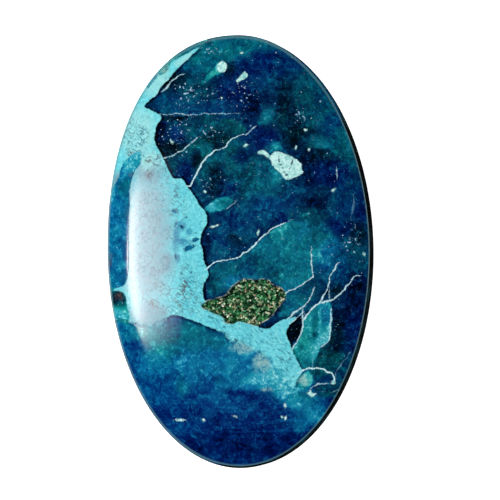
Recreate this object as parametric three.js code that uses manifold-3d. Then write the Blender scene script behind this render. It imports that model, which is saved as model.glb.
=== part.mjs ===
// Shattuckite cabochon: an oval stone with a polished dome, an upright wall and a flat back.
// A shallow open pocket in the dome holds a crust of small malachite crystals.
// Millimetres, +Z up, +Y along the oval. The origin is the middle of the flat back.

import * as THREE from 'three';
import { mergeVertices } from 'three/addons/utils/BufferGeometryUtils.js';
import Module from 'manifold-3d';

// Driving dimensions of the stone.
const LENGTH = 48;
const WIDTH = 29.5;
const THICKNESS = 6.6;
const WALL_TOP = 3.2; // height at which the dome begins
const EDGE_BREAK = 0.2; // narrow flat between the wall and the dome
const BACK_BEVEL = 0.3; // flat that keeps the rim of the back from chipping
const SHOULDER = 0.45; // 0 is an even dome, 1 a flat top with round shoulders
const FULL_QUARTER = 2.23; // power of the oval's upper left quarter, 2 is a true ellipse
const DOME_RINGS = 18;
const OVAL_SIDES = 96;

// The pocket's outline on the face, clockwise from its left tip, as [x, y].
const POCKET_OUTLINE = [
  [-3.8, -6.0], [-2.8, -5.4], [-1.0, -4.9], [-0.4, -4.1], [0.8, -3.2], [2.0, -3.2],
  [3.6, -3.2], [4.3, -3.8], [5.2, -4.2], [5.7, -5.0], [5.4, -5.7], [4.6, -6.4],
  [4.1, -7.2], [3.0, -7.9], [2.4, -8.3], [0.5, -7.8], [-0.1, -8.1], [-1.1, -7.9],
  [-1.4, -7.3], [-2.8, -6.7],
];
const POCKET_FLOOR = 5.25; // height of the pocket's flat floor

// The crust of crystals in the pocket.
const CRUST_GAP = 0.3; // clear space between the crust and the pocket's side
const CRUST_BASE = 0.3; // depth of the layer that the crystals grow from
const CRYSTAL_SPACING = 0.62;
const CRYSTAL_RADIUS = [0.34, 0.5];
const CRYSTAL_HEIGHT = [0.3, 0.52]; // above the base layer
const CRYSTAL_FACES = 5;
const CRYSTAL_LEAN = 0.35; // most that a crystal leans, in radians
const CRYSTAL_SEED = 11;

const wasm = await Module();
wasm.setup();

// Evenly spread numbers from 0 to 1, the same on every run.
function seededRandom(seed) {
  let state = seed;
  return () => {
    state = (state * 1664525 + 1013904223) % 4294967296;
    return state / 4294967296;
  };
}

function between([low, high], share) {
  return low + (high - low) * share;
}

// A closed geometry as a solid that can be joined and cut.
function toSolid(geometry) {
  const bare = geometry.clone();
  bare.deleteAttribute('normal');
  bare.deleteAttribute('uv');
  const merged = mergeVertices(bare, 1e-4);
  const corners = merged.index.array;
  const triangles = [];
  for (let i = 0; i < corners.length; i += 3) {
    const [a, b, c] = corners.slice(i, i + 3);
    if (a !== b && b !== c && c !== a) triangles.push(a, b, c);
  }
  const vertProperties = merged.attributes.position.array;
  const triVerts = new Uint32Array(triangles);
  return new wasm.Manifold(new wasm.Mesh({ numProp: 3, vertProperties, triVerts }));
}

function toGeometry(solid) {
  const { vertProperties, triVerts } = solid.getMesh();
  const geometry = new THREE.BufferGeometry();
  geometry.setAttribute('position', new THREE.BufferAttribute(vertProperties, 3));
  geometry.setIndex(new THREE.BufferAttribute(triVerts, 1));
  geometry.computeVertexNormals();
  return geometry;
}

// Height of the dome at a share of the way from its middle (0) to its edge (1).
function domeHeight(share) {
  const fall = (1 - SHOULDER) * share ** 2 + SHOULDER * share ** 4;
  return WALL_TOP + (THICKNESS - WALL_TOP) * (1 - fall);
}

// How far the hand-cut outline stands out past a true circle in the direction of a point.
function swell(x, y) {
  if (x >= 0 || y <= 0) return 1;
  const radius = Math.hypot(x, y);
  return ((-x / radius) ** FULL_QUARTER + (y / radius) ** FULL_QUARTER) ** (-1 / FULL_QUARTER);
}

// The stone without its pocket: a turned profile, swelled and then drawn out along Y into an oval.
function ovalBlank() {
  const wall = WIDTH / 2;
  const face = wall - EDGE_BREAK;
  const profile = [
    new THREE.Vector2(0, 0),
    new THREE.Vector2(wall - BACK_BEVEL, 0),
    new THREE.Vector2(wall, BACK_BEVEL),
    new THREE.Vector2(wall, WALL_TOP - EDGE_BREAK),
  ];
  for (let ring = DOME_RINGS; ring >= 0; ring -= 1) {
    const share = ring / DOME_RINGS;
    profile.push(new THREE.Vector2(face * share, domeHeight(share)));
  }
  const blank = new THREE.LatheGeometry(profile, OVAL_SIDES);
  blank.rotateX(Math.PI / 2);
  const { position } = blank.attributes;
  for (let i = 0; i < position.count; i += 1) {
    const x = position.getX(i);
    const y = position.getY(i);
    const stretch = swell(x, y);
    position.setXY(i, x * stretch, y * stretch);
  }
  blank.scale(1, LENGTH / WIDTH, 1);
  return blank;
}

// An upright prism over an outline.
function prism(outline, low, high) {
  const shape = new THREE.Shape(outline.map(([x, y]) => new THREE.Vector2(x, y)));
  const geometry = new THREE.ExtrudeGeometry(shape, { depth: high - low, bevelEnabled: false });
  geometry.translate(0, 0, low);
  return geometry;
}

// The same outline drawn inwards, each corner moved along the mean of its two sides' normals.
function inset(outline, distance) {
  return outline.map(([x, y], i) => {
    const [px, py] = outline[(i + outline.length - 1) % outline.length];
    const [nx, ny] = outline[(i + 1) % outline.length];
    const along = new THREE.Vector2(x - px, y - py).normalize();
    const onward = new THREE.Vector2(nx - x, ny - y).normalize();
    const inward = new THREE.Vector2(along.y + onward.y, -along.x - onward.x).normalize();
    const reach = distance / Math.max(0.5, inward.dot(new THREE.Vector2(along.y, -along.x)));
    return [x + inward.x * reach, y + inward.y * reach];
  });
}

// One crystal: a leaning point with flat faces, its foot in the base layer.
function crystal(x, y, random) {
  const height = CRUST_BASE + between(CRYSTAL_HEIGHT, random());
  const point = new THREE.ConeGeometry(between(CRYSTAL_RADIUS, random()), height, CRYSTAL_FACES);
  point.translate(0, height / 2, 0);
  point.rotateX(Math.PI / 2);
  point.rotateZ(random() * 2 * Math.PI);
  point.rotateX((random() * 2 - 1) * CRYSTAL_LEAN);
  point.rotateY((random() * 2 - 1) * CRYSTAL_LEAN);
  point.translate(x, y, POCKET_FLOOR);
  return point;
}

// The crust: crystals on a staggered grid, joined to one base layer and trimmed to the pocket.
function druse() {
  const random = seededRandom(CRYSTAL_SEED);
  const outline = inset(POCKET_OUTLINE, CRUST_GAP);
  const xs = outline.map(([x]) => x);
  const ys = outline.map(([, y]) => y);
  let crust = toSolid(prism(outline, POCKET_FLOOR, POCKET_FLOOR + CRUST_BASE));
  const rowStep = CRYSTAL_SPACING * Math.sqrt(3) / 2;
  let row = 0;
  for (let y = Math.min(...ys); y <= Math.max(...ys); y += rowStep) {
    const stagger = (row % 2) * CRYSTAL_SPACING / 2;
    for (let x = Math.min(...xs) + stagger; x <= Math.max(...xs); x += CRYSTAL_SPACING) {
      const jitterX = (random() - 0.5) * CRYSTAL_SPACING / 2;
      const jitterY = (random() - 0.5) * CRYSTAL_SPACING / 2;
      crust = crust.add(toSolid(crystal(x + jitterX, y + jitterY, random)));
    }
    row += 1;
  }
  return crust.intersect(toSolid(prism(outline, POCKET_FLOOR, THICKNESS)));
}

const pocket = toSolid(prism(POCKET_OUTLINE, POCKET_FLOOR, THICKNESS + 1));
const stone = toSolid(ovalBlank()).subtract(pocket);

const cabochon = new THREE.Mesh(
  toGeometry(stone),
  new THREE.MeshStandardMaterial({ color: 0x0c5474, roughness: 0.12, metalness: 0 }),
);
cabochon.name = 'cabochon';

const malachiteDruse = new THREE.Mesh(
  toGeometry(druse()),
  new THREE.MeshStandardMaterial({ color: 0x2f6b40, roughness: 0.35, metalness: 0 }),
);
malachiteDruse.name = 'malachite_druse';

const shattuckite = new THREE.Group();
shattuckite.add(cabochon, malachiteDruse);

export default shattuckite;
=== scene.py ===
import math

import bpy
import numpy as np
from mathutils import Matrix, Vector, noise


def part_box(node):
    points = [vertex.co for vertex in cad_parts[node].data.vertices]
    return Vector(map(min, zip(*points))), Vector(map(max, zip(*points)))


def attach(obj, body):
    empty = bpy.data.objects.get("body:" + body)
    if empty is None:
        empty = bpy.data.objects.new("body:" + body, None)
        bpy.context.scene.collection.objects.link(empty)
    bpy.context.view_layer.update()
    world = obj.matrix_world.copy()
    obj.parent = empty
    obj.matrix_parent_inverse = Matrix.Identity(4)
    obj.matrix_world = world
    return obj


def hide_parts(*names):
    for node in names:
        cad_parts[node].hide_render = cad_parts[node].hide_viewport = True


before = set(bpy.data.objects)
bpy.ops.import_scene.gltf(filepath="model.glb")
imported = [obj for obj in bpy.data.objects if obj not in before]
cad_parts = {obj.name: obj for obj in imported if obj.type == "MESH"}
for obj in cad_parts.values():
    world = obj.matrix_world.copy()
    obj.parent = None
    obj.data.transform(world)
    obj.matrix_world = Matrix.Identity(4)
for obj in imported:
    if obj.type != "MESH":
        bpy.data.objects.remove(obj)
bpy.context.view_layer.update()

mm = 0.001  # Blender works in metres, the sizes below are in millimetres
noise.seed_set(5)  # without a seed, the noise that the markings wander by starts from the clock

# Shared helpers


def hexToLinear(hexColour):
    channels = [int(hexColour[i:i + 2], 16) / 255 for i in (1, 3, 5)]
    linear = [c / 12.92 if c <= 0.04045 else ((c + 0.055) / 1.055) ** 2.4 for c in channels]
    return (*linear, 1.0)


def addNode(tree, kind, inputs=None, stops=None, **settings):
    # inputs maps a socket to a value or to another node's output, stops fills a colour ramp
    node = tree.nodes.new("ShaderNode" + kind)
    for name, value in settings.items():
        setattr(node, name, value)
    for socket, value in (inputs or {}).items():
        if isinstance(value, bpy.types.NodeSocket):
            tree.links.new(value, node.inputs[socket])
        else:
            node.inputs[socket].default_value = value
    if stops:
        elements = node.color_ramp.elements
        while len(elements) < len(stops):
            elements.new(1.0)
        for element, (place, hexColour) in zip(elements, stops):
            element.position = place
            element.color = hexToLinear(hexColour)
    return node.outputs


def newMaterial(name):
    material = bpy.data.materials.new(name)
    material.use_nodes = True
    material.node_tree.nodes.clear()
    return material, material.node_tree


def addObject(name, mesh, materials):
    item = bpy.data.objects.new(name, mesh)
    bpy.context.scene.collection.objects.link(item)
    for material in materials:
        mesh.materials.append(material)
    return item


# Camera: a long lens almost straight above, leaning a little to the stone's right and foot

camera = {
    "picture": 500,            # pixels along each side of the photograph
    "pixelsPerMm": 9.031,      # at the girdle
    "middle": (238.3, 251.3),  # pixel where the girdle's middle stands
    "distance": 420.0,         # mm
    "leanRight": 8.29,         # degrees off straight above
    "leanDown": 1.2,
    "roll": -0.54,
    "girdle": 3.2,             # mm above the back
    "sensor": 36.0,            # mm
}


def cameraAxes():
    leanRight, leanDown = (math.radians(camera[name]) for name in ("leanRight", "leanDown"))
    back = np.array([math.sin(leanRight), -math.sin(leanDown), 0.0])
    back[2] = math.sqrt(1 - back @ back)
    right = np.cross([0.0, 1.0, 0.0], back)
    right /= np.linalg.norm(right)
    up = np.cross(back, right)
    turn = math.radians(camera["roll"])
    return (math.cos(turn) * right + math.sin(turn) * up,
            math.cos(turn) * up - math.sin(turn) * right, back)


def cameraPlace():
    right, up, back = cameraAxes()
    half = camera["picture"] / 2
    aside = (half - camera["middle"][0]) / camera["pixelsPerMm"]
    above = (camera["middle"][1] - half) / camera["pixelsPerMm"]
    return np.array([0, 0, camera["girdle"]]) + back * camera["distance"] + right * aside + up * above


def toPicture(points):
    # pixel of the photograph where each point of the stone, in mm, is seen
    right, up, back = cameraAxes()
    away = points - cameraPlace()
    scale = camera["pixelsPerMm"] * camera["distance"] / -(away @ back)
    half = camera["picture"] / 2
    return np.stack([half + away @ right * scale, half - away @ up * scale], axis=1)


def placeCamera():
    lens = bpy.data.cameras.new("photoCamera")
    lens.sensor_width = camera["sensor"]
    lens.lens = camera["pixelsPerMm"] * camera["distance"] * camera["sensor"] / camera["picture"]
    lens.clip_start, lens.clip_end = 0.01, 10.0
    item = bpy.data.objects.new("photoCamera", lens)
    bpy.context.scene.collection.objects.link(item)
    right, up, back = (Vector(axis) for axis in cameraAxes())
    turned = Matrix((right, up, back)).transposed().to_4x4()
    item.matrix_world = Matrix.Translation(Vector(cameraPlace()) * mm) @ turned
    bpy.context.scene.camera = item


placeCamera()
print("camera set")

# Outlines and soft patches, measured over the photograph's pixels


def smoothLine(points, closed, steps=4):
    # a curve through the points, so that round stretches need few of them
    points = np.array(points, float)
    count = len(points)
    if closed:
        before, start, end, after = (np.roll(points, 1 - k, axis=0) for k in range(4))
    else:
        padded = np.vstack([2 * points[0] - points[1], points, 2 * points[-1] - points[-2]])
        before, start, end, after = (padded[k:k + count - 1] for k in range(4))
    t = (np.arange(steps) / steps)[None, :, None]
    before, start, end, after = (p[:, None, :] for p in (before, start, end, after))
    curve = 0.5 * (2 * start + (end - before) * t + (2 * before - 5 * start + 4 * end - after) * t ** 2
                   + (3 * start - before - 3 * end + after) * t ** 3)
    curve = curve.reshape(-1, points.shape[1])
    return curve if closed else np.vstack([curve, points[-1]])


def insideDistance(places, outline):
    # how far inside a closed outline each place lies, negative outside
    ring = smoothLine(outline, True)
    nearest = np.full(len(places), np.inf)
    inside = np.zeros(len(places), bool)
    for a, b in zip(ring, np.roll(ring, -1, axis=0)):
        side = b - a
        reach = places - a
        share = np.clip(reach @ side / (side @ side), 0, 1)
        nearest = np.minimum(nearest, np.hypot(*(reach - share[:, None] * side).T))
        if a[1] != b[1]:
            crosses = (places[:, 1] < a[1]) != (places[:, 1] < b[1])
            inside ^= crosses & (places[:, 0] < a[0] + reach[:, 1] * side[0] / side[1])
    return np.where(inside, nearest, -nearest)


def ovalReach(places, oval):
    # 0 in the middle of an oval patch and 1 on its edge
    x, y, halfLong, halfShort, turn = (*oval, 0)[:5]  # the turn, in degrees, may be left out
    angle = math.radians(turn)
    away = places - (x, y)
    along = away @ (math.cos(angle), math.sin(angle))
    across = away @ (-math.sin(angle), math.cos(angle))
    return np.hypot(along / halfLong, across / halfShort)


def softStep(values, low, high):
    share = np.clip((values - low) / (high - low), 0, 1)
    return share * share * (3 - 2 * share)


def drift(points, size, reach):
    # a smooth wandering of up to about reach, over patches of a size in mm
    return np.array([noise.noise_vector(Vector(p) / size)[:2] for p in points.tolist()]) * reach


# The stone: one oval cabochon, a polished dome on an upright matt wall

stone = {
    "wallTop": 3.2,        # mm, the same profile as the solid
    "edgeBreak": 0.2,
    "glint": (0.7, 0.3),   # share of the break polished with the face, elsewhere and along the rim where the wall is painted shade
    "backBevel": 0.3,
    "shoulder": 0.45,
    "fullQuarter": 2.23,
    "paintedShadeRim": (-95, 32),  # degrees from +X between which the near-black host rock comes up to the face, painted shade on the wall away from the softbox
    "rimFade": 15,         # degrees either side over which it falls away
    "rockTop": (1.1, 3.6),  # mm above the back up to which the wall is host rock, elsewhere and where it is painted shade
    "wallRings": 8,
    "cellsAcross": 200,    # about 0.15 mm each, one and a third pixels of the photograph
    "cellsAlong": 326,
    "pocketFloor": 5.25,
    "pocketGap": 0.02,     # mm that the stone lies below the crust
    "pocketSlope": 0.35,   # width of the pocket's slanting side
    "pocket": [
        (-3.8, -6.0), (-2.8, -5.4), (-1.0, -4.9), (-0.4, -4.1), (0.8, -3.2), (2.0, -3.2), (3.6, -3.2),
        (4.3, -3.8), (5.2, -4.2), (5.7, -5.0), (5.4, -5.7), (4.6, -6.4), (4.1, -7.2), (3.0, -7.9),
        (2.4, -8.3), (0.5, -7.8), (-0.1, -8.1), (-1.1, -7.9), (-1.4, -7.3), (-2.8, -6.7)],
}
lowCorner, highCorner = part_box("cabochon")
stoneWidth, stoneLength, stoneHeight = ((high - low) / mm for low, high in zip(lowCorner, highCorner))


def domeHeight(share):
    fall = (1 - stone["shoulder"]) * share ** 2 + stone["shoulder"] * share ** 4
    return stone["wallTop"] + (stoneHeight - stone["wallTop"]) * (1 - fall)


def onOval(circleX, circleY, radius):
    # a point of the unit circle on the stone's oval, whose upper left quarter is a little full
    reach = np.maximum(np.hypot(circleX, circleY), 1e-9)
    power = stone["fullQuarter"]
    left = np.where((circleX < 0) & (circleY > 0), -circleX / reach, 1.0)
    top = np.where((circleX < 0) & (circleY > 0), circleY / reach, 0.0)
    swell = (left ** power + top ** power) ** (-1 / power) * radius
    return circleX * swell, circleY * swell * stoneLength / stoneWidth


def paintedShadeRimShare(x, y):
    # 1 where the near-black host rock comes up to the face as painted shade, falling to 0 either side
    around = np.degrees(np.arctan2(y, x))
    first, last = stone["paintedShadeRim"]
    fade = stone["rimFade"]
    return softStep(around, first - fade, first) * (1 - softStep(around, last, last + fade))


def stoneShape():
    # a square net drawn onto the dome, then rings down the edge and wall and in across the back
    across, along = stone["cellsAcross"], stone["cellsAlong"]
    u, v = np.meshgrid(np.linspace(-1, 1, across + 1), np.linspace(-1, 1, along + 1))
    circleX = (u * np.sqrt(1 - v ** 2 / 2)).ravel()
    circleY = (v * np.sqrt(1 - u ** 2 / 2)).ravel()
    wall = stoneWidth / 2
    face = wall - stone["edgeBreak"]
    x, y = onOval(circleX, circleY, face)
    points = [np.stack([x, y, domeHeight(np.hypot(circleX, circleY))], axis=1)]
    number = np.arange(len(x)).reshape(along + 1, across + 1)
    cells = [number[:-1, :-1], number[:-1, 1:], number[1:, 1:], number[1:, :-1]]
    faces = np.stack([c.ravel() for c in cells], axis=1).tolist()
    rim = np.concatenate([number[0, :-1], number[:-1, -1], number[-1, :0:-1], number[:0:-1, 0]])
    rimX, rimY = circleX[rim], circleY[rim]
    bevel, top = stone["backBevel"], stone["wallTop"]
    wide, narrow = stone["glint"]
    glint = stone["edgeBreak"] * (wide + (narrow - wide) * paintedShadeRimShare(rimX, rimY))
    profile = [(face + glint, top - glint)]
    profile += [(wall, z) for z in np.linspace(top - stone["edgeBreak"], bevel, stone["wallRings"])]
    profile += [(wall - bevel, 0.0), (wall * 0.7, 0.0), (wall * 0.35, 0.0)]
    slots = [0] * len(faces)
    upper = rim
    start = len(x)
    for ring, (radius, z) in enumerate(profile):
        ringX, ringY = onOval(rimX, rimY, radius)
        points.append(np.stack([ringX, ringY, np.broadcast_to(z, len(rim))], axis=1))
        lower = start + np.arange(len(rim))
        quads = np.stack([upper, lower, np.roll(lower, -1), np.roll(upper, -1)], axis=1)
        faces += quads.tolist()
        slots += [min(ring, 1)] * len(rim)  # 0 is polished, 1 ground
        upper = lower
        start += len(rim)
    points.append(np.zeros((1, 3)))
    faces += np.stack([upper, np.full(len(rim), start), np.roll(upper, -1)], axis=1).tolist()
    slots += [1] * len(rim)
    return np.vstack(points), faces, slots


def sinkPocket(points):
    depth = insideDistance(points[:, :2], stone["pocket"])
    onFace = points[:, 2] > stone["wallTop"]
    sunk = points.copy()
    share = softStep(depth, 0, stone["pocketSlope"]) * onFace
    sunk[:, 2] += (stone["pocketFloor"] - stone["pocketGap"] - points[:, 2]) * share
    return sunk, np.where(onFace, depth, -5.0)  # the wall and back count as far outside


# Where the stone's colours lie. A tone is (how light, how green) on the stone's two colour ramps, a cloud is
# (x, y, half length, half width, turn in degrees) in pixels and the turn may be left out

markings = {
    "tones": {
        "midnight": (0.09, 0.3), "navy": (0.19, 0.0), "blue": (0.34, 0.25), "azure": (0.58, 0.2),
        "greenBlack": (0.09, 0.8), "deepTeal": (0.35, 0.7), "teal": (0.52, 0.7),
        "brightTeal": (0.7, 0.8), "turquoise": (0.84, 0.4), "royalBlue": (0.39, 0.0),
        "ultramarine": (0.24, 0.0), "deepBlue": (0.13, 0.0), "forest": (0.34, 1.0),
    },
    "baseWeight": 0.12,  # of the tone where no cloud lies
    "upper": {
        "base": (0.3, 0.5),
        "clouds": {
            "teal": [(236, 47, 30, 8), (208, 58, 15, 10), (236, 146, 10, 8), (212, 161, 7, 4, -35),
                (320, 235, 9, 10), (262, 188, 11, 7), (345, 142, 5, 12), (266, 117, 7, 5),
                (288, 312, 9, 4, -30), (297, 299, 9, 8), (225, 271, 12, 5), (320, 143, 10, 5)],
            "brightTeal": [(316, 253, 4, 8), (273, 149, 6, 3.5), (277, 174, 5, 5)],
            "forest": [(327, 360, 9, 8), (322, 372, 8, 4), (229, 152, 5, 5), (206, 170, 5, 6)],
            "azure": [(327, 254, 9, 12), (235, 282, 12, 5)],
            "deepTeal": [(305, 92, 13, 12), (225, 128, 14, 6), (242, 178, 15, 13), (262, 160, 10, 9),
                (205, 176, 6, 10), (308, 217, 10, 8), (356, 255, 8, 14), (215, 286, 8, 6),
                (326, 391, 9, 5), (311, 118, 10, 10), (196, 94, 14, 8), (340, 150, 10, 8)],
            "blue": [(205, 106, 22, 6), (178, 106, 12, 7), (285, 66, 16, 8), (275, 205, 18, 9),
                (240, 222, 17, 10), (225, 240, 10, 12), (345, 205, 9, 14), (345, 262, 10, 12),
                (322, 377, 10, 5), (330, 124, 9, 7), (272, 77, 12, 8)],
            "navy": [(262, 63, 20, 10), (234, 92, 12, 14), (258, 138, 14, 11), (325, 173, 14, 10),
                (226, 187, 8, 7), (335, 228, 10, 6), (354, 325, 8, 18), (282, 220, 7, 5),
                (360, 212, 5, 14)],
            "midnight": [(250, 103, 9, 8), (308, 167, 9, 12), (183, 183, 6, 3), (345, 312, 14, 14),
                (358, 292, 8, 14), (245, 158, 8, 5), (316, 204, 8, 5), (206, 246, 3.5, 16),
                (204, 288, 3, 9)],
            "greenBlack": [(288, 104, 7, 18), (176, 84, 9, 6), (216, 180, 8, 12), (298, 132, 12, 10),
                (228, 66, 5, 7), (318, 156, 12, 6), (358, 232, 5, 8), (235, 240, 5, 7), (334, 293, 5, 4),
                (336, 332, 6, 16), (246, 272, 5, 8), (278, 306, 4, 5)],
        },
    },
    "regions": {
        "wedge": {
            "base": (0.27, 0.6),
            "clouds": {
                "navy": [(178, 133, 6, 6)],
                "deepTeal": [(207, 124, 8, 6), (188, 128, 9, 6)],
                "midnight": [(160, 130, 4, 14)],
                "greenBlack": [(172, 148, 8, 5), (180, 118, 16, 2)],
            },
            "outline": [(161, 116.5), (180, 116), (192, 117), (205, 115), (218, 116), (214, 127),
                (203, 135), (193, 141), (181, 151), (164, 159.5), (150, 148), (150, 124)],
        },
        "betweenVeins": {
            "base": (0.36, 0.85),
            "clouds": {
                "greenBlack": [(217, 138, 10, 8), (197, 161, 4, 9)],
                "navy": [(184, 171, 8, 8), (186, 181, 5, 4)],
                "deepTeal": [(190, 154, 9, 4, -30), (172, 163, 6, 5), (228, 128, 10, 6)],
                "teal": [(205, 147, 8, 4)],
            },
            "outline": [(164, 159.5), (181, 151), (193, 141), (203, 135), (214, 127), (228, 119),
                (246, 126), (244, 134.5), (236, 137), (229.5, 141), (225, 147.3), (215.5, 150.3),
                (209, 155), (202, 163.5), (195.5, 175), (190.5, 184.7), (186, 188), (170, 182),
                (160, 168)],
        },
        "tealField": {
            "base": (0.57, 0.6),
            "clouds": {
                "teal": [(285, 240, 12, 10), (297, 262, 10, 12)],
                "brightTeal": [(281, 228, 7, 3, -20), (290, 247, 4, 8)],
                "deepTeal": [(258, 263, 12, 7), (270, 273, 9, 5)],
                "blue": [(248, 268, 6, 5)],
            },
            "outline": [(243, 255), (254, 246), (262, 239.5), (271, 231.5), (280, 226), (291, 221.5),
                (306, 225), (312, 240), (313, 272), (306, 282), (286, 291), (282, 287), (270, 281),
                (256, 279), (243, 277), (237, 262)],
        },
        "lower": {
            "base": (0.4, 0.0),
            "clouds": {
                "turquoise": [(283, 386, 14, 10), (262, 381, 14, 5), (262, 366, 10, 11),
                    (240, 350, 11, 8), (300, 403, 7, 5), (312, 413, 7, 6), (278, 372, 8, 8)],
                "brightTeal": [(150, 331, 14, 8), (158, 348, 8, 9)],
                "teal": [(205, 341, 20, 8), (170, 343, 10, 12), (182, 388, 5, 9), (190, 330, 12, 8),
                    (306, 398, 10, 6)],
                "azure": [(215, 362, 28, 13), (190, 370, 22, 10), (230, 376, 18, 9), (150, 362, 12, 10),
                    (300, 422, 5, 8), (119, 334, 5, 14), (312, 404, 12, 10), (316, 412, 8, 8)],
                "royalBlue": [(134, 358, 6, 16), (205, 397, 30, 8), (160, 392, 16, 14), (240, 408, 20, 8),
                    (185, 425, 14, 10)],
                "ultramarine": [(215, 380, 8, 4), (255, 402, 14, 8), (318, 402, 7, 6), (172, 378, 7, 3),
                    (240, 420, 40, 9), (180, 415, 20, 8)],
                "deepBlue": [(228, 415, 7, 3), (230, 392, 8, 3), (240, 446, 60, 12), (300, 443, 10, 8),
                    (334, 402, 5, 10)],
            },
            "outline": [(90, 314), (118, 319), (129, 321.3), (151, 323), (161, 321), (167, 317.5),
                (172, 315), (180, 315.8), (197, 322), (224.5, 332.5), (229, 340), (256, 345), (275, 355),
                (290, 378), (303, 371), (309, 372), (313, 386), (318, 396), (330, 398), (350, 402),
                (380, 480), (240, 520), (90, 450)],
        },
        "fan": {
            "base": (0.76, 1.0),
            "clouds": {
                "teal": [(313, 318, 3, 8), (305, 363, 8, 4)],
                "turquoise": [(324, 339, 5, 5), (316, 350, 3, 8, 20), (330, 322, 1.5, 14),
                    (318, 322, 1.2, 14)],
                "brightTeal": [(306, 330, 4, 8), (304, 354, 6, 8), (310, 345, 4, 8)],
                "azure": [(325, 314, 4, 10)],
                "deepTeal": [(314, 333, 2, 7), (301, 347, 2, 3), (309, 365, 4, 2)],
            },
            "outline": [(303.5, 320), (308, 314.5), (313.5, 308), (319.5, 303.5), (325, 302.5),
                (330, 303), (331.5, 311), (331.2, 325), (329.5, 339.5), (325, 343.5), (320.3, 347),
                (316, 358.5), (313.5, 361), (313.2, 367.8), (301.5, 368), (292.5, 350.5), (296.5, 343.5),
                (300.5, 336.5), (302.8, 329)],
        },
        "palePatch": {
            "base": (0.76, 0.8),
            "clouds": {"turquoise": [(212, 207, 5, 3)], "teal": [(226, 203, 6, 4)]},
            "outline": [(204, 209.5), (211, 203), (217, 199), (224, 197), (231, 198.5), (233, 201),
                (226.5, 208.8), (211, 212)],
        },
        "bulletTail": {
            "base": (0.76, 0.95),
            "clouds": {"teal": [(205, 81, 4, 4)]},
            "outline": [(218, 63), (221, 72), (215, 75), (210, 79.5), (204, 83), (203, 81.5), (206, 77),
                (213, 69.5)],
        },
        "greyPatch": {
            "base": (0.86, 0.8),
            "clouds": {"teal": [(297, 384, 2, 5), (306, 388, 6, 2)]},
            "outline": [(295.5, 386), (298, 378), (303, 373.5), (309, 372), (312.5, 376), (312, 383),
                (306, 388)],
        },
        "blueStrip": {
            "base": (0.52, 0.2),
            "clouds": {
                "turquoise": [(135, 158, 6, 6), (127, 165, 5, 5), (112, 192, 3, 8)],
                "teal": [(124, 186, 4, 8)],
                "azure": [(110, 235, 3, 26), (122, 262, 4, 14), (119, 172, 6, 5), (110, 282, 5, 6),
                    (116, 225, 4, 18)],
                "royalBlue": [(123, 250, 3, 8)],
            },
            "outline": [(139, 151), (141, 158), (139, 166), (134, 172), (131.5, 180), (130, 190),
                (129, 205), (128.5, 230), (128.5, 255), (128, 272), (125, 284), (116, 288), (96, 290),
                (96, 195), (110, 190), (116, 182), (119, 174), (121, 167), (126, 160), (133, 154)],
        },
        "tealFoot": {
            "base": (0.66, 1.0),
            "clouds": {"greenBlack": [(117, 298, 6, 5)], "turquoise": [(114, 316, 10, 4)]},
            "outline": [(96, 291), (118, 291), (125, 295), (127, 306), (128.5, 321), (116, 319),
                (96, 316)],
        },
        "rimBand": {
            "base": (0.74, 0.95),
            "clouds": {"turquoise": [(154, 80, 5, 5)], "teal": [(190, 50, 9, 4)]},
            "outline": [(148, 88), (152, 84), (158, 76), (165, 72.5), (171, 64), (174, 60), (183, 55.5),
                (192, 51), (203, 44), (200, 30), (160, 45), (140, 75)],
        },
        "inkOval": {
            "base": (0.0, 0.6),
            "clouds": {},
            "outline": [(287, 331), (289, 326), (293.5, 322), (301, 316.5), (301.8, 323), (300.4, 331),
                (297, 338), (290.5, 342)],
        },
    },
    "chalk": [(206, 36), (203, 43.5), (197, 50), (188, 59), (176, 70), (170, 77.5), (160, 88), (157, 94),
        (150, 100), (144, 106.5), (154, 111.5), (161, 116), (160, 121), (157, 124), (155, 132),
        (154.8, 142), (163.5, 159), (169, 171), (174, 178.5), (182, 179), (186.4, 185.5), (194, 195.7),
        (200, 206), (206, 213), (206.5, 224), (202.5, 231), (200, 241.6), (203, 251), (203.5, 260),
        (206.3, 267), (208.5, 275), (203.5, 284), (203, 293), (205, 301), (222, 310), (240, 315),
        (254, 321), (257, 326), (262, 328.5), (270, 328), (275, 324.5), (282, 320), (289, 318),
        (296, 317.5), (289, 325.5), (286.8, 331), (287, 338), (290, 343.5), (292, 350), (296, 358.5),
        (300.5, 367.5), (303, 371), (297, 380), (292, 388), (287, 379), (281, 369), (273, 361),
        (266, 354), (256, 348.5), (247, 343), (238, 340.5), (229, 340), (226.5, 336), (224.5, 332.5),
        (212, 328), (197, 322), (186, 318), (180, 315.8), (172, 315), (167, 317.5), (161, 321),
        (151, 323), (129, 321.3), (118, 319), (90, 312), (90, 160), (120, 70), (170, 30)],
    "notChalk": ["blueStrip", "tealFoot", "rimBand"],
    "frayed": [(262, 362, 44, 14, 40), (150, 323, 20, 7)],  # where the chalk has no sharp edge
    "mint": [
        [(257.5, 153), (258.5, 151.3), (261, 150.4), (264.5, 150.6), (267.5, 152.8), (271, 156),
         (273.5, 152.2), (278.5, 151.8), (285, 154), (292, 157), (297.5, 160.3), (301.3, 164.5),
         (302, 169.5), (302.8, 172.5), (299, 175.5), (294.5, 177.3), (289, 179.6), (285, 178.8),
         (279.5, 172), (275.5, 168.5), (272.3, 165), (270.8, 160), (267, 157), (263, 154.3), (260, 154)],
        [(219.5, 62.5), (223, 61.2), (226.5, 64), (226.8, 68), (224.5, 71.5), (221, 72.3), (218, 71),
         (217.5, 67)],
        [(244.5, 72), (247.5, 74.5), (247, 77.5), (243, 79.3), (238, 82), (236.8, 80), (241, 75.5)],
        [(305.5, 392.5), (308.5, 392.5), (310, 389.5), (312.5, 393.3), (316.5, 393.5), (311.5, 397),
         (309, 394.8)],
    ],
    "mintDabs": [(333.2, 382.4, 2.2, 2, 0), (180, 420, 4.2, 1.2, 0), (203.7, 420, 1.6, 1.1, 30),
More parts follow.
